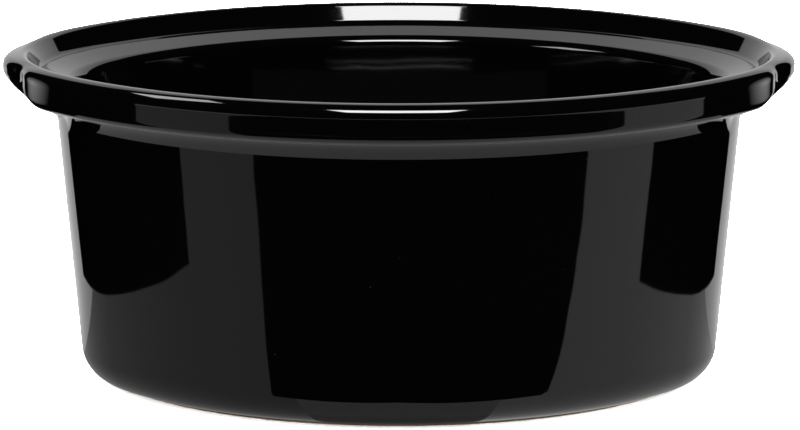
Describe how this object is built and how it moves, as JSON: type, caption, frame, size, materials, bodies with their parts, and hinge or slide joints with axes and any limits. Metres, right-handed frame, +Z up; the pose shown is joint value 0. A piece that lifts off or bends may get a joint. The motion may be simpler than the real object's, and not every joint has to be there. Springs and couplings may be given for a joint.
{
  "type": "slow cooker crock",
  "caption": "Oval black-glazed stoneware crock of a slow cooker, with a stepped lid ledge, a deep rim band and a short grip at each end.",
  "frame": {"origin": "centre of the oval, on the surface the foot ring stands on", "axes": "+X along the long axis towards one grip, +Y across, +Z up"},
  "size_m": [0.374, 0.303, 0.159],
  "materials": {
    "fired_clay": "dry unglazed stoneware, fine speckle, matt",
    "black_glaze": "very glossy near-black fired glaze"
  },
  "bodies": {
    "root": {"stoneware_body": "fired_clay", "glaze": "black_glaze"}
  },
  "joints": []
}
